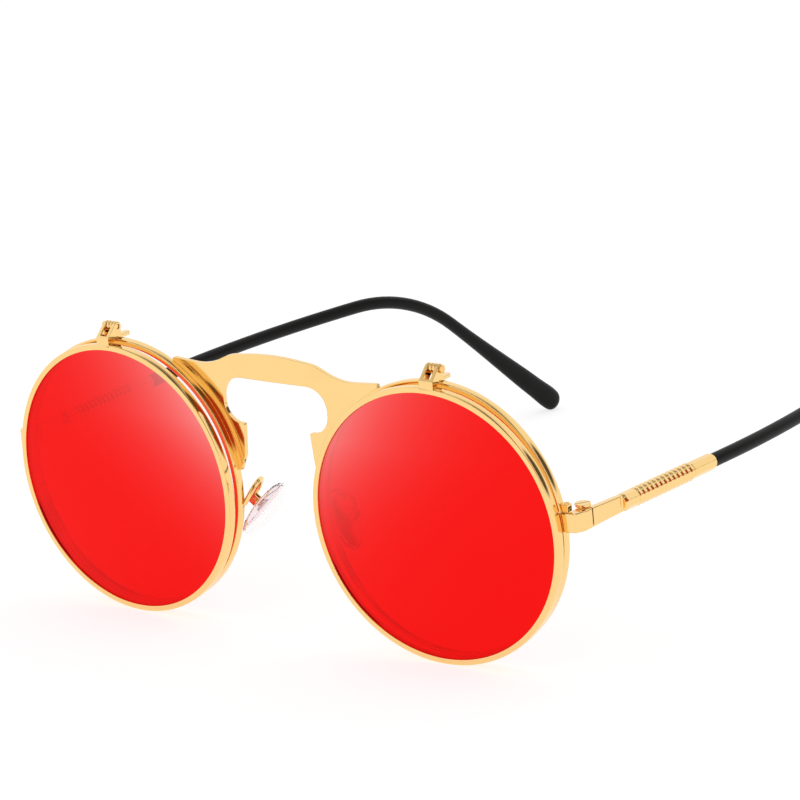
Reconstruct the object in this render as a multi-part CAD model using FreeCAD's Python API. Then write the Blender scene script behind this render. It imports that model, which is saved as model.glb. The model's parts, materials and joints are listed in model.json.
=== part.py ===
import FreeCAD, Part
import math
import os

V = FreeCAD.Vector
os.makedirs("parts", exist_ok=True)

# All sizes are millimetres and degrees. The frame is modelled upright first: X towards the wearer's left,
# Y from the front to the ears, Z up from the middle of the fixed lenses. It is leaned onto the table last.

# Lenses and rims
lens_radius = 24.25
lens_thickness = 1.0
lens_curve_radius = 250.0
bridge_gap = 18.7
rim_face = 1.1
rim_depth = 1.7
rim_round = 0.2
rim_crown = 0.12
groove_depth = 0.45
groove_width = 0.9
seat_clearance = 0.03
wrap = 2.0

# Flip lenses, held a little lower and in front of the fixed ones
flip_gap = 0.62
flip_drop = 0.4
flip_lean = 0.8
flip_extra_wrap = 0.8

# Flip hinge
flip_axis_offset = 1.23
flip_axis_back = 0.3
flip_axis_rise = 2.25
flip_barrel_radius = 0.9
flip_knuckle = 0.66
flip_knuckle_round = 0.2
flip_side_clearance = 0.06
flip_screw_radius = 0.4
flip_head_radius = 0.7
flip_head_height = 0.35
flip_screw_recess = 0.2
bracket_depth = 0.65
bracket_lip = 1.1
bracket_plate = 0.55
bracket_slope = 0.5
braze_depth = 0.5
strap_setback = 0.4
strap_tail = 2.6
strap_thickness = 0.6

# Bridge plate
plate_thickness = 0.8
plate_setback = 1.2
plate_rise = 0.85
plate_shoulder = 0.25
plate_dip = 2.8
plate_dip_across = 5.25
plate_tip_across = 13.45
plate_tip_lip = 0.7
plate_arch = 4.3
plate_nub_top = 12.55
plate_nub_end = 3.7
plate_nub_width = 2.0
plate_notch = 2.2

# End piece and temple hinge
strip_thickness = 1.0
strip_height = 3.5
strip_level = 2.7
strip_bend = 2.7
strip_reach = 3.05
strip_run = 4.35
strip_edge = 0.25
seam_gap = 0.34
hinge_radius = 0.95
hinge_gap = 0.05
hinge_screw_radius = 0.45
hinge_head_radius = 1.4
hinge_head_height = 0.5
hinge_middle = 1.0
leaf_thickness = 0.6
leaf_length = 2.0
leaf_height = 2.6
front_leaf_thickness = 1.3

# Closing block above the end piece
rim_slit = 0.15
block_height = 1.3
block_width = 0.9
block_depth = 1.4
rim_screw_radius = 0.25
rim_head_radius = 0.45
rim_head_height = 0.3

# Temple, lengths measured back from the seam
temple_splay = 2.2
temple_droop = 1.5
bar_end_height = 2.95
bar_length = 8.6
notch_depth = 0.25
notch_width = 0.5
collar_end = 12.3
collar_across = 2.95
collar_edge = 0.25
rib_end = 28.7
rib_count = 13
rib_across = 3.1
rib_radius = 1.65
rib_valley = 1.25
ferrule_end = 35.5
ferrule_across = 2.8
ferrule_edge = 0.3
core_radius = 0.6
core_clearance = 0.02
core_reach = 12.0
tip_radius = 1.25
curl_start = 38.0
curl_length = 57.0
curl_angle = 13.9
bend_radius = 38.0
bend_angle = 40.8
tip_straight = 36.5
paddle_half_height = 2.2
paddle_half_width = 1.4

# Nose pads, on the wearer's left side
pad_inset = 0.45
pad_behind = 6.6
pad_below = 5.2
pad_up = V(-0.536, 0.346, 0.770)
pad_facing = V(-0.99, 0.12, 0.0)
pad_half_length = 5.8
pad_half_width = 3.5
pad_half_thickness = 1.6
pad_back = 0.6
box_distance = 2.3
box_half = 0.8
box_wall = 0.35
box_room = 0.2
tab_thickness = 1.0
tab_radius = 0.6
tab_clearance = 0.05
insert_length = 2.6
insert_depth = 0.8
pad_screw_radius = 0.3
pad_head_radius = 0.55
pad_head_height = 0.25
arm_wire_radius = 0.45
arm_root_below = 2.9
arm_root_behind = 1.4
arm_peak_inset = 1.73
arm_peak_behind = 3.78
arm_peak_rise = 1.24

# Screw slots
slot_width = 0.25
slot_share = 0.5

far = 200.0
rim_outer = lens_radius + rim_face
nose_side = bridge_gap / 2
lens_half_spacing = nose_side + rim_outer
rim_temple_side = lens_half_spacing + rim_outer
rim_temple_front = rim_temple_side * math.sin(math.radians(wrap))
strip_outer = rim_temple_side + strip_reach
seam_back = rim_temple_front + strip_run
pivot = V(strip_outer - strip_thickness - hinge_radius - hinge_gap, seam_back + hinge_gap, strip_level)
flip_axis = V(lens_half_spacing + flip_axis_offset, flip_axis_back, rim_outer + flip_axis_rise)
lens_centre = V(lens_half_spacing, 0, 0)
pad_centre = V(nose_side - pad_inset, pad_behind, -pad_below)
arm_peak = V(nose_side - arm_peak_inset, arm_peak_behind, arm_peak_rise)
origin = V(0, 0, 0)
across_axis = V(1, 0, 0)
back_axis = V(0, 1, 0)
up_axis = V(0, 0, 1)


def turned(shape, point, axis, angle):
    """Copy of a shape turned about an axis through a point."""
    copy = shape.copy()
    copy.rotate(point, axis, angle)
    return copy


def half(shape):
    """Put a shape modelled square to a lens into the wrapped left half of the frame."""
    return turned(shape, origin, up_axis, wrap)


def box(low, high):
    """Box between two opposite corners."""
    size = high - low
    return Part.makeBox(size.x, size.y, size.z, low)


def rod(radius, start, end):
    """Round rod between two points."""
    return Part.makeCylinder(radius, start.distanceToPoint(end), start, end - start)


def rounded_wire(corners):
    """Closed flat outline through (corner, rounding radius) pairs."""
    ends = []
    for index, (corner, radius) in enumerate(corners):
        before = (corners[index - 1][0] - corner).normalize()
        after = (corners[(index + 1) % len(corners)][0] - corner).normalize()
        half_angle = before.getAngle(after) / 2
        reach = radius / math.tan(half_angle)
        middle = corner + (before + after).normalize() * (radius / math.sin(half_angle) - radius)
        ends.append((corner + before * reach, middle, corner + after * reach, radius))
    edges = []
    for index, (start, middle, end, radius) in enumerate(ends):
        if radius > 0:
            edges.append(Part.Arc(start, middle, end).toShape())
        following = ends[(index + 1) % len(ends)][0]
        if end.distanceToPoint(following) > 1e-6:
            edges.append(Part.makeLine(end, following))
    return Part.Wire(edges)


def slab(corners, direction):
    """Solid made by pushing a rounded outline along a direction."""
    return Part.Face(rounded_wire(corners)).extrude(direction)


def spun(corners, axis=back_axis, angle=360):
    """Solid of revolution of a rounded outline about an axis through the origin."""
    return Part.Face(rounded_wire(corners)).revolve(origin, axis, angle)


def screw(start, end, radius, head_radius, head_height, slot_axis):
    """Slotted screw whose head stands on the start point, outside the shank."""
    along = (end - start).normalize()
    top = start - along * head_height
    shape = rod(radius, start, end).fuse(rod(head_radius, top, start)).removeSplitter()
    side = along.cross(slot_axis).normalize()
    floor = top + along * head_height * slot_share
    first = floor + side * slot_width / 2 - slot_axis * head_radius * 2
    second = floor - side * slot_width / 2 - slot_axis * head_radius * 2
    outline = Part.makePolygon([first, second, second - along, first - along, first])
    return shape.cut(Part.Face(outline).extrude(slot_axis * head_radius * 4))


# Rims and lenses, spun about their own middle with the front on Y = 0

def rim_ring(opening=0):
    """Wire ring with a slightly crowned outside and a groove inside for the lens edge, open by an angle."""
    middle = rim_depth / 2
    crown_round = middle * 0.6 / (rim_crown / middle)
    return spun([
        (V(lens_radius, 0, 0), rim_round / 2),
        (V(rim_outer - rim_crown, 0, 0), rim_round),
        (V(rim_outer, middle, 0), crown_round),
        (V(rim_outer - rim_crown, rim_depth, 0), rim_round),
        (V(lens_radius, rim_depth, 0), rim_round / 2),
        (V(lens_radius, middle + groove_width / 2, 0), 0),
        (V(lens_radius + groove_depth, middle, 0), 0),
        (V(lens_radius, middle - groove_width / 2, 0), 0),
    ], back_axis, 360 - opening)


def lens_disc():
    """Curved lens with a bevelled edge that sits in the rim's groove."""
    edge = lens_radius - seat_clearance
    sag = lens_curve_radius - math.sqrt(lens_curve_radius ** 2 - edge ** 2)
    middle = rim_depth / 2
    front = middle - lens_thickness / 2
    back = middle + lens_thickness / 2
    bevel = groove_width / 2 - seat_clearance
    tip = edge + groove_depth - seat_clearance
    blank = spun([
        (V(0, front - sag * 2, 0), 0),
        (V(edge, front - sag * 2, 0), 0),
        (V(edge, middle - bevel, 0), 0),
        (V(tip, middle, 0), 0),
        (V(edge, middle + bevel, 0), 0),
        (V(edge, back, 0), 0),
        (V(0, back, 0), 0),
    ])
    front_ball = Part.makeSphere(lens_curve_radius, V(0, front - sag + lens_curve_radius, 0))
    back_ball = Part.makeSphere(lens_curve_radius, V(0, back - sag + lens_curve_radius, 0))
    return blank.common(front_ball).cut(back_ball)


def place_fixed(shape):
    """Move a lens-centred shape to the fixed lens."""
    return shape.translated(lens_centre)


def place_flip(shape):
    """Move a lens-centred shape to the flip lens when it is down."""
    shape = turned(shape, V(0, rim_depth, 0), across_axis, flip_lean)
    shape = turned(shape, V(0, rim_depth, 0), up_axis, flip_extra_wrap)
    return shape.translated(lens_centre + V(0, -flip_gap - rim_depth, -flip_drop))


def rim_filling():
    """A rim with its inside filled, used to seat pieces on its outer wall."""
    return rod(lens_radius + rim_face / 2, V(0, -far, 0), V(0, far, 0)).fuse(rim_ring())


def fixed_rim():
    """Fixed rim, split at the top of the end piece."""
    split = math.asin((strip_level + strip_height / 2) / rim_outer)
    ring = rim_ring(math.degrees(rim_slit / rim_outer))
    return half(place_fixed(turned(ring, origin, back_axis, -math.degrees(split))))


# Flip hinge, outlines drawn in Y and Z around the hinge axis

def flip_block(low_side, high_side, outline):
    """Push a Y and Z outline around the flip axis sideways from low_side to high_side."""
    corners = [(flip_axis + V(low_side, y, z), radius) for y, z, radius in outline]
    return slab(corners, V(high_side - low_side, 0, 0))


def flip_knuckles(positions):
    """Knuckle cylinders at steps along the flip axis, counted from the middle of the hinge."""
    pitch = flip_knuckle + flip_side_clearance
    spans = []
    for position in positions:
        low = position * pitch - flip_knuckle / 2
        spans.append((low, low + flip_knuckle))
    return spans


def flip_barrel(low, high, radius):
    """Cylinder on the flip axis."""
    return rod(radius, flip_axis + V(low, 0, 0), flip_axis + V(high, 0, 0))


def flip_ridge(low, high):
    """Knuckle with rounded edges on the flip axis."""
    shape = spun([
        (V(low, 0, 0), 0),
        (V(low, flip_barrel_radius, 0), flip_knuckle_round),
        (V(high, flip_barrel_radius, 0), flip_knuckle_round),
        (V(high, 0, 0), 0),
    ], across_axis)
    return shape.translated(flip_axis)


def barrel_tangent(y, z, side):
    """Point where a line from (y, z), around the flip axis, touches the knuckles on its upper or lower side."""
    distance = math.hypot(y, z)
    heading = math.atan2(-z, -y) + side * math.asin(flip_barrel_radius / distance)
    reach = math.sqrt(distance ** 2 - flip_barrel_radius ** 2)
    return V(0, y + reach * math.cos(heading), z + reach * math.sin(heading))


def flip_bracket():
    """Tab on the flip rim: two cheeks with the outer knuckles, joined by a plate below a window."""
    rim_top = rim_outer - flip_drop - flip_axis.z
    front = -flip_gap - rim_depth - rim_outer * math.sin(math.radians(flip_lean)) - flip_axis_back
    rear = front + bracket_depth
    bottom = rim_top - braze_depth
    lip = rim_top + bracket_lip
    touch = barrel_tangent(front, lip, 1)
    rear_touch = barrel_tangent(rear, bottom, -1)
    cheek = [(front, bottom), (rear, bottom), (rear_touch.y, rear_touch.z), (touch.y, touch.z), (front, lip)]
    spans = flip_knuckles([-1.5, 1.5])
    shape = None
    for low, high in spans:
        side = flip_block(low, high, [(y, z, 0) for y, z in cheek]).fuse(flip_ridge(low, high))
        shape = side if shape is None else shape.fuse(side)
    slope = (touch - V(0, front, lip)).normalize()
    brow = V(0, front, lip) + slope * bracket_slope
    under = brow + V(0, slope.z, -slope.y) * bracket_plate
    plate = [(front, bottom), (front, lip), (brow.y, brow.z), (under.y, under.z)]
    plate += [(front + bracket_plate, lip), (front + bracket_plate, bottom)]
    shape = shape.fuse(flip_block(spans[0][0], spans[1][1], [(y, z, 0) for y, z in plate]))
    shape = shape.cut(place_flip(rim_filling()))
    shape = shape.cut(flip_barrel(-far, far, flip_screw_radius + hinge_gap))
    return half(shape.removeSplitter())


def flip_hinge_base():
    """Strap on the fixed rim that carries the two inner knuckles, with a short tail behind the rim."""
    spans = flip_knuckles([-0.5, 0.5])
    low = spans[0][0]
    high = spans[1][1]
    rim_top = -flip_axis_rise
    front = strap_setback - flip_axis_back
    back = rim_depth - flip_axis_back
    bottom = rim_top - braze_depth
    shape = flip_block(low, high, [(front, bottom, 0), (back, bottom, 0), (back, 0, 0), (front, 0, 0)])
    for start, end in spans:
        shape = shape.fuse(flip_ridge(start, end))
    level = flip_axis + V(0, 0, rim_top - strap_thickness / 2)
    wide = high - low
    tail = slab([
        (level + V(low, 0, 0), 0),
        (level + V(high, 0, 0), 0),
        (level + V(high, back + strap_tail, 0), wide * 0.45),
        (level + V(low, back + strap_tail, 0), wide * 0.45),
    ], V(0, 0, strap_thickness))
    shape = shape.fuse(tail)
    shape = shape.cut(place_fixed(rim_filling()))
    shape = shape.cut(flip_barrel(-far, far, flip_screw_radius))
    return half(shape.removeSplitter())


def flip_hinge_screw():
    """Axle of the flip hinge, head on the temple side."""
    spans = flip_knuckles([-1.5, 1.5])
    start = flip_axis + V(spans[1][1] + flip_side_clearance, 0, 0)
    end = flip_axis + V(spans[0][0] + flip_screw_recess, 0, 0)
    return half(screw(start, end, flip_screw_radius, flip_head_radius, flip_head_height, up_axis))


# Bridge plate

def plate_plan():
    """Sheet seen from above: two wrapped flats joined by a tangent arc, standing Z = 0 up."""
    angle = math.radians(wrap)
    right = V(math.cos(angle), math.sin(angle), 0)
    left = V(-right.x, right.y, 0)
    back = V(-right.y, right.x, 0)
    mirrored_back = V(right.y, right.x, 0)
    faces = []
    for depth in (plate_setback, plate_setback + plate_thickness):
        inner = right * nose_side + back * plate_setback
        radius = inner.x / right.y
        middle = V(0, inner.y + radius * right.x - radius + depth - plate_setback, 0)
        shift = depth - plate_setback
        near = inner + back * shift
        end = right * lens_half_spacing + back * depth
        far_near = V(-inner.x, inner.y, 0) + mirrored_back * shift
        far_end = left * lens_half_spacing + mirrored_back * depth
        faces.append((end, near, middle, far_near, far_end))
    front, rear = faces
    edges = []
    for end, near, middle, far_near, far_end in faces:
        edges.append(Part.makeLine(end, near))
        edges.append(Part.Arc(near, middle, far_near).toShape())
        edges.append(Part.makeLine(far_near, far_end))
    edges.append(Part.makeLine(front[0], rear[0]))
    edges.append(Part.makeLine(front[4], rear[4]))
    outline = Part.Wire(Part.sortEdges(edges)[0])
    return Part.Face(outline).extrude(V(0, 0, far))


def bridge_plate():
    """Stamped plate between the rims, with an arch and two nubs over the nose."""
    arch = rim_outer - plate_arch
    tip = nose_side + plate_tip_across
    tip_height = math.sqrt(rim_outer ** 2 - (lens_half_spacing - tip) ** 2) + plate_tip_lip
    shoulder = rim_outer - plate_shoulder
    notch = nose_side + plate_notch
    notch_round = (arch - plate_nub_top) / 2 - seat_clearance
    nub = nose_side - plate_nub_width
    crown_slope = math.atan2(plate_rise + plate_shoulder, nose_side)
    crown_round = nose_side * 0.6 / math.tan(crown_slope)
    side = [
        (nose_side, shoulder, 8),
        (nose_side + plate_dip_across, rim_outer - plate_dip, 12),
        (tip, tip_height, plate_tip_lip / 2),
        (tip, plate_nub_top, 0),
        (notch, plate_nub_end, 0),
        (nose_side - plate_shoulder, plate_nub_end, 0),
        (nub + rim_crown * 4, (plate_nub_end * 2 + plate_nub_top) / 3, plate_nub_width),
        (nub, plate_nub_top, plate_tip_lip / 2),
        (notch, plate_nub_top, notch_round * 0.85),
        (notch, arch, notch_round),
    ]
    corners = [(V(0, -far, rim_outer + plate_rise), crown_round)]
    corners += [(V(x, -far, z), radius) for x, z, radius in side]
    corners += [(V(-x, -far, z), radius) for x, z, radius in reversed(side)]
    shape = slab(corners, V(0, far * 2, 0)).common(plate_plan())
    filling = half(place_fixed(rim_filling()))
    return shape.cut(filling).cut(mirrored(filling))


# End piece and its hinge

def end_piece():
    """Strip that leaves the fixed rim, bends back and ends at the seam."""
    bottom = strip_level - strip_height / 2
    front = rim_temple_front
    inner = strip_outer - strip_thickness
    end = seam_back - seam_gap / 2
    start = rim_temple_side - rim_face
    corners = [
        (V(start, front, bottom), 0),
        (V(strip_outer, front, bottom), strip_bend),
        (V(strip_outer, end, bottom), 0),
        (V(inner, end, bottom), 0),
        (V(inner, front + strip_thickness, bottom), strip_bend - strip_thickness),
        (V(start, front + strip_thickness, bottom), 0),
    ]
    shape = slab(corners, V(0, 0, strip_height))
    outside = [edge for edge in shape.Edges if outer_edge(edge, front)]
    shape = shape.makeFillet(strip_edge, outside)
    root_front = front + strip_thickness / 2
    root_back = pivot.y - hinge_radius - hinge_gap - leaf_length
    shape = shape.fuse(box(V(start, root_front, bottom), V(inner, root_back, bottom + strip_height)))
    shape = shape.cut(half(place_fixed(rim_filling())))
    return shape.cut(rim_screw_shank()).removeSplitter()


def outer_edge(edge, front):
    """True for a level edge along the front or the outside of the strip."""
    ends = [vertex.Point for vertex in edge.Vertexes]
    level = abs(ends[0].z - ends[1].z) < 1e-6
    return level and all(min(abs(end.y - front), abs(end.x - strip_outer)) < 1e-6 for end in ends)


def rim_screw_axis():
    """Point on the axis of the rim screw, level with the split."""
    middle = rim_temple_front + block_depth / 2
    return V(rim_temple_side + block_width / 2, middle, strip_level + strip_height / 2)


def rim_screw_shank():
    """Hole of the rim screw, from the closing block's top down into the end piece."""
    top = V(0, 0, rim_slit + block_height)
    bottom = V(0, 0, strip_height * 0.75)
    return rod(rim_screw_radius, rim_screw_axis() - bottom, rim_screw_axis() + top)


def closing_block():
    """Upper half of the block that pulls the split rim shut, the end piece is the lower half."""
    front = rim_temple_front + rim_round
    low = strip_level + strip_height / 2 + rim_slit
    start = rim_temple_side - rim_outer / 2
    end = rim_temple_side + block_width
    shape = box(V(start, front, low), V(end, rim_temple_front + block_depth, low + block_height))
    shape = shape.cut(half(place_fixed(rim_filling())))
    return shape.cut(rim_screw_shank())


def rim_screw():
    """Screw that closes the rim."""
    top = rim_screw_axis() + V(0, 0, rim_slit + block_height)
    bottom = rim_screw_axis() - V(0, 0, strip_height * 0.75)
    return screw(top, bottom, rim_screw_radius, rim_head_radius, rim_head_height, across_axis)


def hinge_levels():
    """Bottom, middle low, middle high and top of the temple hinge's knuckles."""
    bottom = strip_level - strip_height / 2
    top = strip_level + strip_height / 2 + hinge_gap * 2
    return bottom, strip_level - hinge_middle / 2, strip_level + hinge_middle / 2, top


def hinge_web(low, high, direction):
    """Knuckle between two levels, with a web that reaches along Y to its leaf plate."""
    inner = pivot.x + hinge_radius + hinge_gap
    base = V(pivot.x, pivot.y, low)
    end = pivot.y + direction * (hinge_radius + hinge_gap + leaf_thickness)
    ys = sorted([pivot.y, end])
    web = box(V(inner - leaf_thickness - 0.2, ys[0], low), V(inner, ys[1], high))
    return rod(hinge_radius, base, V(pivot.x, pivot.y, high)).fuse(web)


def leaf_plate(direction, thickness, height):
    """Plate of a hinge leaf on the inner face of the end piece or of the temple bar."""
    inner = pivot.x + hinge_radius + hinge_gap
    start = pivot.y + direction * (hinge_radius + hinge_gap)
    ys = sorted([start, start + direction * leaf_length])
    low = V(inner - thickness, ys[0], strip_level - height / 2)
    return box(low, V(inner, ys[1], strip_level + height / 2))


def front_hinge_leaf():
    """Leaf in the end piece with the upper and lower knuckles."""
    bottom, middle_low, middle_high, top = hinge_levels()
    shape = leaf_plate(-1, front_leaf_thickness, strip_height)
    shape = shape.fuse(hinge_web(bottom, middle_low - hinge_gap, -1))
    shape = shape.fuse(hinge_web(middle_high + hinge_gap, top, -1))
    shape = shape.common(box(V(0, -far, -far), V(far, seam_back, far)).fuse(hinge_column()))
    shape = shape.cut(end_piece())
    return shape.cut(rod(hinge_screw_radius, pivot - up_axis * 9, pivot + up_axis * 9)).removeSplitter()


def hinge_column():
    """Space swept by the knuckles."""
    return rod(hinge_radius, pivot - up_axis * far, pivot + up_axis * far)


def temple_hinge_leaf():
    """Leaf in the temple with the middle knuckle."""
    bottom, middle_low, middle_high, top = hinge_levels()
    shape = leaf_plate(1, leaf_thickness, leaf_height).fuse(hinge_web(middle_low, middle_high, 1))
    shape = shape.cut(rod(hinge_screw_radius + hinge_gap, pivot - up_axis * 9, pivot + up_axis * 9))
    return turned(shape.removeSplitter(), pivot, up_axis, -temple_splay)


def temple_hinge_screw():
    """Upright screw of the temple hinge."""
    bottom, middle_low, middle_high, top = hinge_levels()
    start = V(pivot.x, pivot.y, top)
    end = V(pivot.x, pivot.y, bottom)
    return screw(start, end, hinge_screw_radius, hinge_head_radius, hinge_head_height, V(0.6, 0.8, 0))


# Temple, drawn along Y from the seam with its middle on the origin

def place_temple(shape):
    """Hang a temple shape on the hinge with its droop and splay."""
    start = V(strip_outer - strip_thickness / 2, seam_back, strip_level)
    shape = turned(shape, origin, across_axis, -temple_droop).translated(start)
    return turned(shape, pivot, up_axis, -temple_splay)


def faceted_rod(start, end, across):
    """Eight-sided rod along Y."""
    radius = across / 2 / math.cos(math.pi / 8)
    points = []
    for step in range(9):
        angle = math.pi / 8 + step * math.pi / 4
        points.append(V(radius * math.cos(angle), start, radius * math.sin(angle)))
    return Part.Face(Part.makePolygon(points)).extrude(V(0, end - start, 0))


def temple_path(reach):
    """Middle line of the temple from the sleeve to the given distance along its last straight."""
    radius = curl_length / math.radians(curl_angle)
    curl = math.radians(curl_angle)
    drop = math.radians(bend_angle)
    start = V(0, ferrule_end, 0)
    curl_in = V(0, curl_start, 0)
    edges = [Part.makeLine(start, curl_in)]

    def on_curl(angle):
        return curl_in + V(-radius * (1 - math.cos(angle)), radius * math.sin(angle), 0)

    curl_out = on_curl(curl)
    edges.append(Part.Arc(curl_in, on_curl(curl / 2), curl_out).toShape())
    ahead = V(-math.sin(curl), math.cos(curl), 0)

    def on_bend(angle):
        return curl_out + ahead * bend_radius * math.sin(angle) - up_axis * bend_radius * (1 - math.cos(angle))

    bend_out = on_bend(drop)
    edges.append(Part.Arc(curl_out, on_bend(drop / 2), bend_out).toShape())
    down = ahead * math.cos(drop) - up_axis * math.sin(drop)
    if reach > 0:
        edges.append(Part.makeLine(bend_out, bend_out + down * reach))
    return Part.Wire(edges), bend_out, down


def tube(radius, reach):
    """Round bar along the temple's middle line."""
    path, end, down = temple_path(reach)
    ring = Part.Wire(Part.Circle(V(0, ferrule_end, 0), back_axis, radius).toShape())
    return path.makePipeShell([ring], True, True)


def temple_bar():
    """Flat bar with a notch and a faceted collar, and the core wire inside the sleeves."""
    thick = strip_thickness / 2
    tall = strip_height / 2
    end_tall = bar_end_height / 2
    corners = [(-1, tall), (bar_length, end_tall), (bar_length, -end_tall), (-1, -tall)]
    shape = slab([(V(-thick, y, z), 0) for y, z in corners], V(strip_thickness, 0, 0))
    long_edges = [edge for edge in shape.Edges if edge.BoundBox.YLength > 1 and edge.CenterOfMass.x > 0]
    shape = shape.makeFillet(strip_edge, long_edges)
    collar = faceted_rod(bar_length, collar_end, collar_across)
    widest = collar_across / 2 / math.cos(math.pi / 8)
    blunt = spun([
        (V(0, bar_length, 0), 0),
        (V(widest - collar_edge * 2, bar_length, 0), 0),
        (V(widest, bar_length + collar_edge * 2, 0), 0),
        (V(widest, collar_end, 0), 0),
        (V(0, collar_end, 0), 0),
    ])
    notch = slab([
        (V(thick + 0.01, bar_length - notch_width, -far), 0),
        (V(thick + 0.01, bar_length, -far), 0),
        (V(thick - notch_depth, bar_length - notch_width / 2, -far), 0),
    ], V(0, 0, far * 2))
    core = rod(core_radius, V(0, collar_end - 0.5, 0), V(0, ferrule_end, 0)).fuse(tube(core_radius, core_reach))
    shape = shape.cut(notch).fuse(collar.common(blunt)).fuse(core)
    shape = place_temple(shape.removeSplitter())
    return shape.cut(box(V(0, -far, -far), V(far, seam_back + seam_gap / 2, far)))


def ribbed_sleeve():
    """Faceted sleeve with turned ribs and a plain ferrule behind them."""
    pitch = (rib_end - collar_end) / rib_count
    outline = [(V(core_radius + core_clearance, collar_end, 0), 0)]
    for index in range(rib_count):
        start = collar_end + index * pitch
        outline.append((V(rib_valley, start, 0), 0))
        outline.append((V(rib_radius, start + pitch * 0.3, 0), pitch * 0.2))
        outline.append((V(rib_radius, start + pitch * 0.7, 0), pitch * 0.2))
    outline.append((V(rib_valley, rib_end, 0), 0))
    outline.append((V(core_radius + core_clearance, rib_end, 0), 0))
    ribs = spun(outline).common(faceted_rod(collar_end, rib_end, rib_across))
    widest = ferrule_across / 2 / math.cos(math.pi / 8)
    blunt = spun([
        (V(0, rib_end, 0), 0),
        (V(widest, rib_end, 0), 0),
        (V(widest, ferrule_end - ferrule_edge * 2, 0), 0),
        (V(widest - ferrule_edge, ferrule_end, 0), 0),
        (V(0, ferrule_end, 0), 0),
    ])
    ferrule = faceted_rod(rib_end, ferrule_end, ferrule_across).common(blunt)
    ferrule = ferrule.cut(rod(core_radius + core_clearance, V(0, 0, 0), V(0, far, 0)))
    return place_temple(ribs.fuse(ferrule).removeSplitter())


def paddle():
    """Last straight of the tip, widening smoothly into a flat rounded end."""
    path, start, down = temple_path(0)
    tall = V(0, 0, 1) - down * down.z
    tall.normalize()
    side = tall.cross(down).normalize()
    body = tip_straight - paddle_half_height
    sections = []
    for step in range(9):
        share = step / 8
        widening = share * share * (3 - 2 * share)
        half_height = tip_radius + (paddle_half_height - tip_radius) * widening
        half_width = tip_radius + (paddle_half_width - tip_radius) * widening
        sections.append((body * share, half_height, half_width))
    for angle in (25, 45, 62, 76, 86):
        turn = math.radians(angle)
        shrink = math.cos(turn)
        forward = body + paddle_half_height * math.sin(turn)
        sections.append((forward, paddle_half_height * shrink, paddle_half_width * shrink))
    wires = []
    for distance, half_height, half_width in sections:
        centre = start + down * distance
        if half_height == half_width:
            curve = Part.Circle(centre, down, half_height)
            curve.XAxis = tall
        else:
            curve = Part.Ellipse(centre + tall * half_height, centre + side * half_width, centre)
        wires.append(Part.Wire(curve.toShape()))
    return Part.makeLoft(wires, True, False)


def temple_tip():
    """Plastic tip slid over the core wire."""
    shape = tube(tip_radius, 0).fuse(paddle())
    return place_temple(shape.cut(tube(core_radius + core_clearance, core_reach + core_clearance)))


# Nose pads

def pad_axes():
    """Unit directions of the pad: up its length, out of its face and across it."""
    length = V(pad_up)
    length.normalize()
    face = pad_facing - length * pad_facing.dot(length)
    face.normalize()
    return length, face, length.cross(face)


def pad_block(length_span, face_span, width_span, point):
    """Box along the pad's directions around a point."""
    length, face, width = pad_axes()
    corner = point + length * length_span[0] + face * face_span[0] + width * width_span[0]
    sides = [
        length * (length_span[1] - length_span[0]),
        face * (face_span[1] - face_span[0]),
        width * (width_span[1] - width_span[0]),
    ]
    outline = [corner, corner + sides[0], corner + sides[0] + sides[1], corner + sides[1], corner]
    return Part.Face(Part.makePolygon(outline)).extrude(sides[2])


def pad_axis_point():
    """Middle of the pad screw."""
    length, face, width = pad_axes()
    return pad_centre - face * box_distance


def nose_pad():
    """Oval pad, domed on its face, with a pocket for the insert."""
    length, face, width = pad_axes()
    scale = FreeCAD.Matrix()
    scale.scale(V(pad_half_length, pad_half_thickness, pad_half_width))
    oval = Part.makeSphere(1).transformGeometry(scale)
    oval = oval.common(box(V(-far, -pad_back, -far), V(far, far, far)))
    turn = FreeCAD.Placement(pad_centre, FreeCAD.Rotation(length, face, width, "XYZ"))
    oval.Placement = turn.multiply(oval.Placement)
    return oval.cut(insert_plate())


def insert_plate():
    """Part of the insert moulded into the pad."""
    long_half = insert_length / 2
    wide = tab_thickness / 2 + box_wall
    return pad_block((-long_half, long_half), (-pad_back, insert_depth - pad_back), (-wide, wide), pad_centre)


def pad_insert():
    """Block in the pad's back with a tab that rocks on the pad screw."""
    length, face, width = pad_axes()
    point = pad_axis_point()
    thin = tab_thickness / 2
    tab = rod(tab_radius, point - width * thin, point + width * thin)
    neck = pad_block((-tab_radius, tab_radius), (0, box_distance - pad_back), (-thin, thin), point)
    shape = insert_plate().fuse(tab).fuse(neck)
    hole = rod(pad_screw_radius + hinge_gap, point - width * far, point + width * far)
    return shape.cut(hole).removeSplitter()


def pad_box():
    """Open box on the pad arm, one cheek on each side of the insert's tab."""
    point = pad_axis_point()
    inner = tab_thickness / 2 + tab_clearance
    outer = inner + box_wall
    back = tab_radius + box_room
    shape = pad_block((-box_half, box_half), (-back - box_wall, tab_radius), (-outer, outer), point)
    return shape.cut(pad_block((-far, far), (-back, far), (-inner, inner), point))


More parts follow.
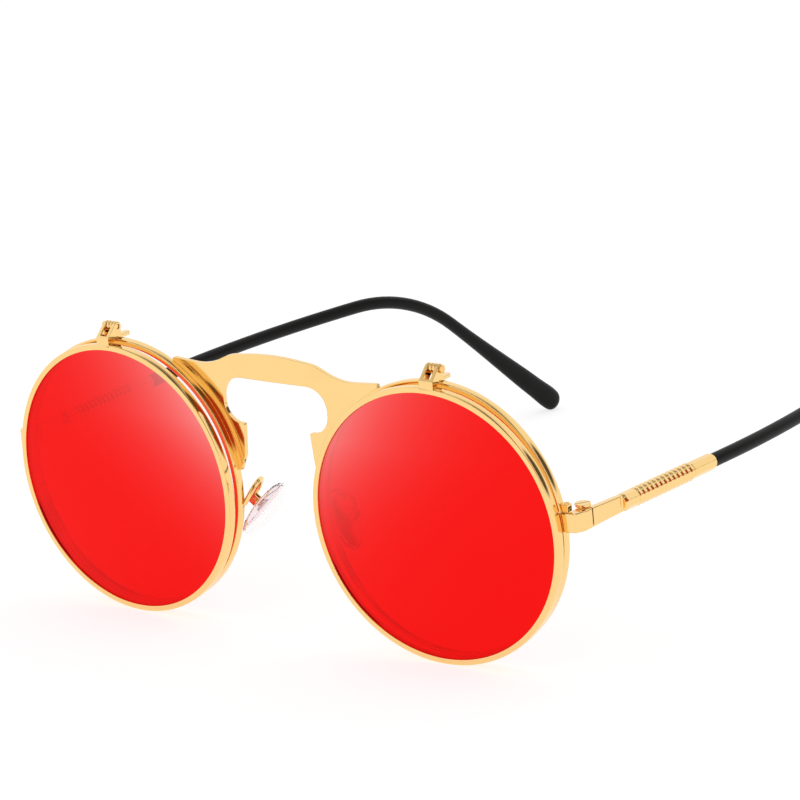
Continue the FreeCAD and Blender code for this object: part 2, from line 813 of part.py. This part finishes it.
def pad_arm():
    """Hairpin wire from the nose side of the fixed rim to the pad box."""
    length, face, width = pad_axes()
    point = pad_axis_point()
    across = lens_half_spacing - math.sqrt(rim_outer ** 2 - arm_root_below ** 2)
    angle = math.radians(wrap)
    root = V(across * math.cos(angle) - arm_root_behind * math.sin(angle), 0, -arm_root_below)
    root.y = across * math.sin(angle) + arm_root_behind * math.cos(angle)
    end = point + length * (box_half - box_wall) - face * (tab_radius + box_room + box_wall / 2)
    rising = (arm_peak - root).normalize()
    apart = end - root
    apart = apart - rising * apart.dot(rising)
    bend = apart.Length / 2
    first = arm_peak - rising * bend
    path = Part.Wire([
        Part.makeLine(root, first),
        Part.Arc(first, arm_peak + apart / 2, first + apart).toShape(),
        Part.makeLine(first + apart, end),
    ])
    ring = Part.Wire(Part.Circle(root, rising, arm_wire_radius).toShape())
    wire = path.makePipeShell([ring], True, True)
    space = pad_block((-far, far), (-tab_radius - box_room, far), (-tab_thickness / 2, tab_thickness / 2), point)
    wire = wire.cut(space.common(rod(2, point - width, point + width)))
    shape = wire.fuse(pad_box()).cut(half(place_fixed(rim_ring())))
    return shape.cut(rod(pad_screw_radius, point - width * far, point + width * far)).removeSplitter()


def pad_screw():
    """Cross screw of the pad box."""
    length, face, width = pad_axes()
    point = pad_axis_point()
    outer = tab_thickness / 2 + tab_clearance + box_wall
    start = point + width * outer
    return screw(start, point - width * outer, pad_screw_radius, pad_head_radius, pad_head_height, length)


# Assembly

def mirrored(shape):
    """The same shape on the wearer's right."""
    return shape.mirror(origin, across_axis)


def left_pieces():
    """Every piece of the wearer's left side, in the upright frame."""
    return {
        "rim": fixed_rim(),
        "fixed_lens": half(place_fixed(lens_disc())),
        "end_piece": end_piece(),
        "closing_block": closing_block(),
        "rim_screw": rim_screw(),
        "front_hinge_leaf": front_hinge_leaf(),
        "temple_hinge_screw": temple_hinge_screw(),
        "pad_arm": pad_arm(),
        "pad_screw": pad_screw(),
        "flip_hinge_base": flip_hinge_base(),
        "flip_hinge_screw": flip_hinge_screw(),
        "flip_rim": half(place_flip(rim_ring())),
        "flip_lens": half(place_flip(lens_disc())),
        "flip_bracket": flip_bracket(),
        "temple_bar": temple_bar(),
        "temple_hinge_leaf": temple_hinge_leaf(),
        "ribbed_sleeve": ribbed_sleeve(),
        "temple_tip": temple_tip(),
        "nose_pad": nose_pad(),
        "pad_insert": pad_insert(),
    }


def lowest(shape, lean):
    """Lowest Z of a shape after leaning."""
    return turned(shape, origin, across_axis, lean).optimalBoundingBox(True, False).ZMin


def resting_lean(front, rear):
    """Angle that stands the front piece and the rear piece on the same table."""
    low = 0.0
    high = 15.0
    for step in range(20):
        lean = (low + high) / 2
        if lowest(rear, lean) < lowest(front, lean):
            low = lean
        else:
            high = lean
    return (low + high) / 2


left = left_pieces()
pieces = {"bridge_plate": bridge_plate()}
for name, shape in left.items():
    pieces["left_" + name] = shape
    pieces["right_" + name] = mirrored(shape)

lean = resting_lean(left["flip_rim"], left["temple_tip"])
leaned = {name: turned(shape, origin, across_axis, lean) for name, shape in pieces.items()}
bounds = Part.makeCompound(list(leaned.values())).optimalBoundingBox(True, False)
offset = V(-bounds.Center.x, -bounds.Center.y, -bounds.ZMin)
for name, shape in leaned.items():
    shape.translate(offset)
    shape.exportStep(os.path.join("parts", name + ".step"))
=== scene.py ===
import json
import math
import bmesh
import bpy
from mathutils import Matrix, Vector


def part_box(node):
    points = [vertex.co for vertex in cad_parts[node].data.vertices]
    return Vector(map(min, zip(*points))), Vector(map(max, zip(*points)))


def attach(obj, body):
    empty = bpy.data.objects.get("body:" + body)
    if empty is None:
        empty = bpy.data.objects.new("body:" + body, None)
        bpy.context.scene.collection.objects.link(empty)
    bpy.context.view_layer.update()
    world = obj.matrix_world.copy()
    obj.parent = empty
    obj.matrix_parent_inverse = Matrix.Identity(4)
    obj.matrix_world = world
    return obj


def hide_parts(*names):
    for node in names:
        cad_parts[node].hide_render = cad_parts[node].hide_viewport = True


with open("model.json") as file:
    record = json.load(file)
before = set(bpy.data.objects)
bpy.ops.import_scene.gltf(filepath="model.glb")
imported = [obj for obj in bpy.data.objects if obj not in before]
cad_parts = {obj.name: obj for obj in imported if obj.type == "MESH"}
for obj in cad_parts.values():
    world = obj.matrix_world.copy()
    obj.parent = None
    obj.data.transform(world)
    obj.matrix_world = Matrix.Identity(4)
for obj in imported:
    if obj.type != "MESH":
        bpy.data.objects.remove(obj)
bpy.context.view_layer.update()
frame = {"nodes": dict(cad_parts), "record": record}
nodes = frame["nodes"]


# Gold plated front, hinges, screws and temples.
# The real pieces are stamped and drawn wire, brazed together, then polished and plated as a whole,
# so they are bright mirrors with a faint haze and softened edges, both left by the buffing wheel.
class Shade:
    """A shader socket that takes part in plain arithmetic, and makes further nodes in its tree."""

    def __init__(self, tree, socket=None):
        self.tree = tree
        self.socket = socket

    def node(self, kind, settings, sockets, output=0):
        made = self.tree.nodes.new(kind)
        for name, value in settings.items():
            setattr(made, name, value)
        for name, value in sockets.items():
            if isinstance(value, Shade):
                self.tree.links.new(value.socket, made.inputs[name])
            else:
                made.inputs[name].default_value = value
        return Shade(self.tree, made.outputs[output])

    def beside(self, output):
        """Another output of the node that this socket belongs to."""
        return Shade(self.tree, self.socket.node.outputs[output])

    def arithmetic(self, operation, first, second):
        return self.node("ShaderNodeMath", {"operation": operation}, {0: first, 1: second})

    def __add__(self, other):
        return self.arithmetic("ADD", self, other)

    def __radd__(self, other):
        return self.arithmetic("ADD", other, self)

    def __sub__(self, other):
        return self.arithmetic("SUBTRACT", self, other)

    def __rsub__(self, other):
        return self.arithmetic("SUBTRACT", other, self)

    def __mul__(self, other):
        return self.arithmetic("MULTIPLY", self, other)

    def __rmul__(self, other):
        return self.arithmetic("MULTIPLY", other, self)

    def blotches(self, per_metre, detail):
        """Soft noise over the piece, with about so many blotches to the metre."""
        place = self.node("ShaderNodeTexCoord", {}, {}, "Object")
        return self.node("ShaderNodeTexNoise", {}, {
            "Vector": place, "Scale": per_metre, "Detail": detail})

    def blended(self, share, first, second):
        """Colour between two colours, the second where the share is 1."""
        return self.node("ShaderNodeMix", {"data_type": "RGBA"}, {
            "Factor": share, 6: first, 7: second}, 2)


def start_finish(name):
    """Empty material with its output node, and the shade that makes its nodes."""
    material = bpy.data.materials.new(name)
    material.use_nodes = True
    material.node_tree.nodes.clear()
    output = material.node_tree.nodes.new("ShaderNodeOutputMaterial")
    return material, output, Shade(material.node_tree)


def end_finish(output, shader):
    """Send a shader to the material's output."""
    shader.tree.links.new(shader.socket, output.inputs["Surface"])


def wear(finish, slot):
    """Give every CAD node of a record slot the finish."""
    for part in frame["record"]["subparts"]:
        if part["material_slot"] == slot:
            mesh = nodes[part["node"]].data
            mesh.materials.clear()
            mesh.materials.append(finish)


gold_deep = (0.945, 0.63, 0.25, 1)
gold_light = (0.97, 0.68, 0.29, 1)
edge_round = 0.00016
haze_depth = 0.00002

gold, gold_output, paint = start_finish("polished_gold")
cloud = paint.blotches(160.0, 3.0)
haze = paint.blotches(2600.0, 2.0)
softened = paint.node("ShaderNodeBevel", {"samples": 6}, {"Radius": edge_round})
buffed = paint.node("ShaderNodeBump", {}, {
    "Height": haze, "Strength": 0.03, "Distance": haze_depth, "Normal": softened})
end_finish(gold_output, paint.node("ShaderNodeBsdfPrincipled", {}, {
    "Base Color": paint.blended(cloud, gold_deep, gold_light),
    "Metallic": 1.0, "Roughness": 0.05 + 0.05 * cloud, "Normal": buffed}))
wear(gold, "gold")


# Flip lenses.
# Tinted plastic with a bright red mirror coating, and a little of what stands behind the lens comes
# through.
# High on the nose side the colour goes over to pale pink, a painted highlight: a lamp's sheen painted
# into the coating's colour, weaker on the left lens.
coat_deep = (0.93, 0.0128, 0.0114, 1)
coat_light = (0.95, 0.0148, 0.0132, 1)
# Painted highlight: this pale pink stands in for the sheen of a bright lamp in the mirror coating.
painted_sheen_pink = (1.0, 0.95, 0.93, 1)
tint_red = (0.95, 0.009, 0.008, 1)
mirror_share = 0.70
nose_line = 0.020
sheen_top = 0.0425
sheen_plateau = 0.004
fade_outwards = 110.0
fade_down = 65.0
sheen_exponent = -1.265
left_lens_less_sheen = 5.1

mirror_red, mirror_output, paint = start_finish("red_mirror_lens")
cloud = paint.blotches(40.0, 1.0)
place = paint.node("ShaderNodeTexCoord", {}, {}, "Object")
sideways = paint.node("ShaderNodeSeparateXYZ", {}, {0: place}, "X")
from_nose = paint.node("ShaderNodeMath", {"operation": "ABSOLUTE"}, {0: sideways})
below_top = sheen_top - sideways.beside("Z")
below_plateau = paint.arithmetic("MAXIMUM", below_top, sheen_plateau)
fade = fade_outwards * (from_nose - nose_line) + fade_down * below_top + fade_down * below_plateau
# Painted highlight: the pink sheen is painted into the base colour, strongest high on the nose side,
# fading outwards and down, and weaker on the left lens.
painted_sheen = paint.node("ShaderNodeMath", {"operation": "EXPONENT"}, {
    0: sheen_exponent - fade - left_lens_less_sheen * sideways})
coat_red = paint.blended(cloud, coat_deep, coat_light)
coating = paint.node("ShaderNodeBsdfPrincipled", {}, {
    "Base Color": paint.blended(painted_sheen, coat_red, painted_sheen_pink),
    "Metallic": 1.0, "Roughness": 0.07 + 0.03 * cloud})
tint = paint.node("ShaderNodeBsdfTransparent", {}, {"Color": tint_red})
inside = paint.node("ShaderNodeNewGeometry", {}, {}, "Backfacing")
coated = mirror_share * (1 - inside)
end_finish(mirror_output, paint.node("ShaderNodeMixShader", {}, {0: coated, 1: tint, 2: coating}))
wear(mirror_red, "mirror_lens")


# Fixed lenses behind the flip lenses.
# Clear plastic discs held by the grooves of the fixed rims, seen mostly by the gloss of their faces.
clear, clear_output, paint = start_finish("clear_lens")
gloss = paint.node("ShaderNodeBsdfPrincipled", {}, {
    "Base Color": (0.9, 0.9, 0.9, 1), "Metallic": 1.0, "Roughness": 0.03})
through = paint.node("ShaderNodeBsdfTransparent", {}, {"Color": (0.97, 0.97, 0.97, 1)})
inside = paint.node("ShaderNodeNewGeometry", {}, {}, "Backfacing")
edge_on = paint.node("ShaderNodeFresnel", {}, {"IOR": 1.45}) * (1 - inside)
end_finish(clear_output, paint.node("ShaderNodeMixShader", {}, {0: edge_on, 1: through, 2: gloss}))
wear(clear, "clear_lens")


# Temple tips.
# Black plastic sleeves with a satin moulded skin, pushed over the core wires and bent warm.
black_deep = (0.0045, 0.0040, 0.0037, 1)
black_light = (0.0075, 0.0066, 0.0060, 1)
skin_depth = 0.00003

black, black_output, paint = start_finish("satin_black_plastic")
cloud = paint.blotches(300.0, 3.0)
skin = paint.blotches(9000.0, 2.0)
moulded = paint.node("ShaderNodeBump", {}, {
    "Height": skin, "Strength": 0.12, "Distance": skin_depth})
end_finish(black_output, paint.node("ShaderNodeBsdfPrincipled", {}, {
    "Base Color": paint.blended(cloud, black_deep, black_light),
    "Roughness": 0.34 + 0.1 * cloud, "Specular IOR Level": 0.12, "Normal": moulded}))
wear(black, "tip_plastic")


# Pad inserts.
# Small blocks of clear hard plastic moulded into the backs of the pads, with a tab for the pad screw.
insert_deep = (0.80, 0.72, 0.72, 1)
insert_light = (0.88, 0.82, 0.82, 1)

hard_clear, hard_output, paint = start_finish("insert_plastic")
cloud = paint.blotches(500.0, 2.0)
end_finish(hard_output, paint.node("ShaderNodeBsdfPrincipled", {}, {
    "Base Color": paint.blended(cloud, insert_deep, insert_light),
    "Roughness": 0.15 + 0.1 * cloud, "IOR": 1.5, "Transmission Weight": 0.7}))
wear(hard_clear, "insert_plastic")


# Nose pads.
# Clear soft plastic ovals, domed where they lie on the nose and flatter behind, faintly pink.
# Each is moulded round its insert and rocks with it on the pad arm.
pad_deep = (0.95, 0.81, 0.84, 1)
pad_light = (0.98, 0.88, 0.90, 1)
half_length = 0.0058
half_width = 0.0035
dome_height = 0.0016
back_depth = 0.0006
back_round = 0.00045

pad_clear, pad_output, paint = start_finish("clear_pad")
cloud = paint.blotches(250.0, 2.0)
end_finish(pad_output, paint.node("ShaderNodeBsdfPrincipled", {}, {
    "Base Color": paint.blended(cloud, pad_deep, pad_light),
    "Roughness": 0.06 + 0.05 * cloud, "IOR": 1.41, "Transmission Weight": 0.9}))

pad_low, pad_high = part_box("left_nose_pad")
pad_middle = (Vector(pad_low) + Vector(pad_high)) / 2
pad_length = Vector((-0.536, 0.298, 0.790)).normalized()
pad_face = Vector((-0.8366, -0.0621, -0.5443)).normalized()
pad_width = pad_length.cross(pad_face)
pad_turn = Matrix((pad_length, pad_face, pad_width)).transposed().to_4x4()
for side, sign in (("left", 1), ("right", -1)):
    shape = bmesh.new()
    bmesh.ops.create_uvsphere(shape, u_segments=40, v_segments=24, radius=1)
    bmesh.ops.rotate(shape, verts=shape.verts, matrix=Matrix.Rotation(math.pi / 2, 3, "Y"))
    bmesh.ops.scale(shape, verts=shape.verts, vec=(half_length, dome_height, half_width))
    cut = bmesh.ops.bisect_plane(
        shape, geom=shape.verts[:] + shape.edges[:] + shape.faces[:],
        plane_co=(0, -back_depth, 0), plane_no=(0, -1, 0), clear_outer=True)
    rim = [item for item in cut["geom_cut"] if isinstance(item, bmesh.types.BMEdge)]
    bmesh.ops.holes_fill(shape, edges=rim, sides=0)
    bmesh.ops.bevel(shape, geom=rim, offset=back_round, offset_type="OFFSET", affect="EDGES",
                    segments=3, profile=0.5, material=-1)
    bmesh.ops.transform(shape, verts=shape.verts,
                        matrix=Matrix.Translation(pad_middle) @ pad_turn)
    bmesh.ops.scale(shape, verts=shape.verts, vec=(sign, 1, 1))
    bmesh.ops.recalc_face_normals(shape, faces=shape.faces)
    mesh = bpy.data.meshes.new(side + "_soft_pad")
    shape.to_mesh(mesh)
    shape.free()
    mesh.shade_smooth()
    mesh.materials.append(pad_clear)
    pad = bpy.data.objects.new(side + "_soft_pad", mesh)
    bpy.context.collection.objects.link(pad)
    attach(pad, side + "_pad")
    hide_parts(side + "_nose_pad")


# Table and studio.
# A white table top under even white light and one soft lamp overhead. Only gloss and polished metal
# see more of the studio: its dark ceiling, rear wall and camera hood, and a dark red curtain.
table_grey = (0.50, 0.50, 0.50, 1)
table_glow = 0.70
table_size = 6
pure_white = (1, 1, 1, 1)
unlit_brown = (0.11, 0.09, 0.075, 1)
curtain_red = (0.42, 0.06, 0.035, 1)
ceiling_from = 0.70
ceiling_to = 0.90
even_light = 0.60

sheet = bmesh.new()
bmesh.ops.create_grid(sheet, x_segments=1, y_segments=1, size=table_size)
table_mesh = bpy.data.meshes.new("table_top")
sheet.to_mesh(table_mesh)
sheet.free()
table = bpy.data.objects.new("table_top", table_mesh)
bpy.context.collection.objects.link(table)
white, white_output, paint = start_finish("white_table")
matt = paint.node("ShaderNodeBsdfDiffuse", {}, {"Color": table_grey})
glow = paint.node("ShaderNodeEmission", {}, {"Color": pure_white, "Strength": table_glow})
end_finish(white_output, paint.node("ShaderNodeAddShader", {}, {0: matt, 1: glow}))
table_mesh.materials.append(white)

world = bpy.data.worlds.new("studio")
bpy.context.scene.world = world
world.use_nodes = True
world.node_tree.nodes.clear()
sky = Shade(world.node_tree)
looking = sky.node("ShaderNodeTexCoord", {}, {}, "Generated")


def eased(value, start, end):
    """0 up to the start, 1 from the end on, and a smooth step between them."""
    return sky.node("ShaderNodeMapRange", {"interpolation_type": "SMOOTHSTEP"}, {
        "Value": value, "From Min": start, "From Max": end, "To Min": 0.0, "To Max": 1.0})


def studio_patch(towards, edge, core):
    """Round area of the studio around a direction, 1 inside its core and 0 beyond its edge."""
    facing = sky.node("ShaderNodeVectorMath", {"operation": "DOT_PRODUCT"}, {
        0: looking, 1: towards}, "Value")
    return eased(facing, edge, core)


ceiling = eased(sky.node("ShaderNodeSeparateXYZ", {}, {0: looking}, "Z"), ceiling_from, ceiling_to)
rear_wall = studio_patch((0.60, 0.70, 0.38), 0.955, 0.985)
camera_hood = studio_patch((0.60, -0.60, 0.53), 0.90, 0.95)
red_curtain = studio_patch((0.55, -0.76, 0.34), 0.93, 0.97)
unlit = sky.arithmetic("MAXIMUM", sky.arithmetic("MAXIMUM", ceiling, rear_wall), camera_hood)
room = sky.blended(unlit, pure_white, unlit_brown)
mirrored_room = sky.blended(red_curtain, room, curtain_red)
camera_ray = sky.node("ShaderNodeLightPath", {}, {}, "Is Camera Ray")
seen = camera_ray + camera_ray.beside("Is Transmission Ray")
dim = sky.node("ShaderNodeBackground", {}, {"Color": pure_white, "Strength": even_light})
studio = sky.node("ShaderNodeBackground", {}, {"Color": mirrored_room, "Strength": 1.0})
plain = sky.node("ShaderNodeBackground", {}, {"Color": pure_white, "Strength": 1.0})
lit = sky.node("ShaderNodeMixShader", {}, {
    0: camera_ray.beside("Is Glossy Ray"), 1: dim, 2: studio})
world_output = world.node_tree.nodes.new("ShaderNodeOutputWorld")
end_finish(world_output, sky.node("ShaderNodeMixShader", {}, {0: seen, 1: lit, 2: plain}))

top_lamp = bpy.data.lights.new("top_lamp", "SUN")
top_lamp.energy = 0.25
top_lamp.angle = 0.6
top_holder = bpy.data.objects.new("top_lamp", top_lamp)
downwards = Vector((0.12, -0.02, -1))
top_holder.rotation_euler = downwards.to_track_quat("-Z", "Y").to_euler()
bpy.context.collection.objects.link(top_holder)


# Camera.
# It looks down a little on the front from the wearer's left, through a long lens, and is held with a
# slight roll. Its place is measured from the middle of the left flip rim.
lens = bpy.data.cameras.new("camera")
lens.sensor_width = 36.0
lens.lens = 210.7
lens.clip_start = 0.05
lens.clip_end = 20.0
camera = bpy.data.objects.new("camera", lens)
bpy.context.collection.objects.link(camera)
bpy.context.scene.camera = camera
yaw = -0.656
pitch = -0.252
roll = -0.053
from_rim = Vector((0.46747, -0.61573, 0.22168))
ahead = Vector((math.sin(yaw) * math.cos(pitch), math.cos(yaw) * math.cos(pitch), math.sin(pitch)))
level = Vector((math.cos(yaw), -math.sin(yaw), 0))
above = level.cross(ahead)
right = level * math.cos(roll) + above * math.sin(roll)
up = above * math.cos(roll) - level * math.sin(roll)
rim_low, rim_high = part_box("left_flip_rim")
stand = (Vector(rim_low) + Vector(rim_high)) / 2 + from_rim
camera_turn = Matrix((right, up, -ahead)).transposed().to_4x4()
camera.matrix_world = Matrix.Translation(stand) @ camera_turn

bpy.context.scene.view_settings.view_transform = "Standard"
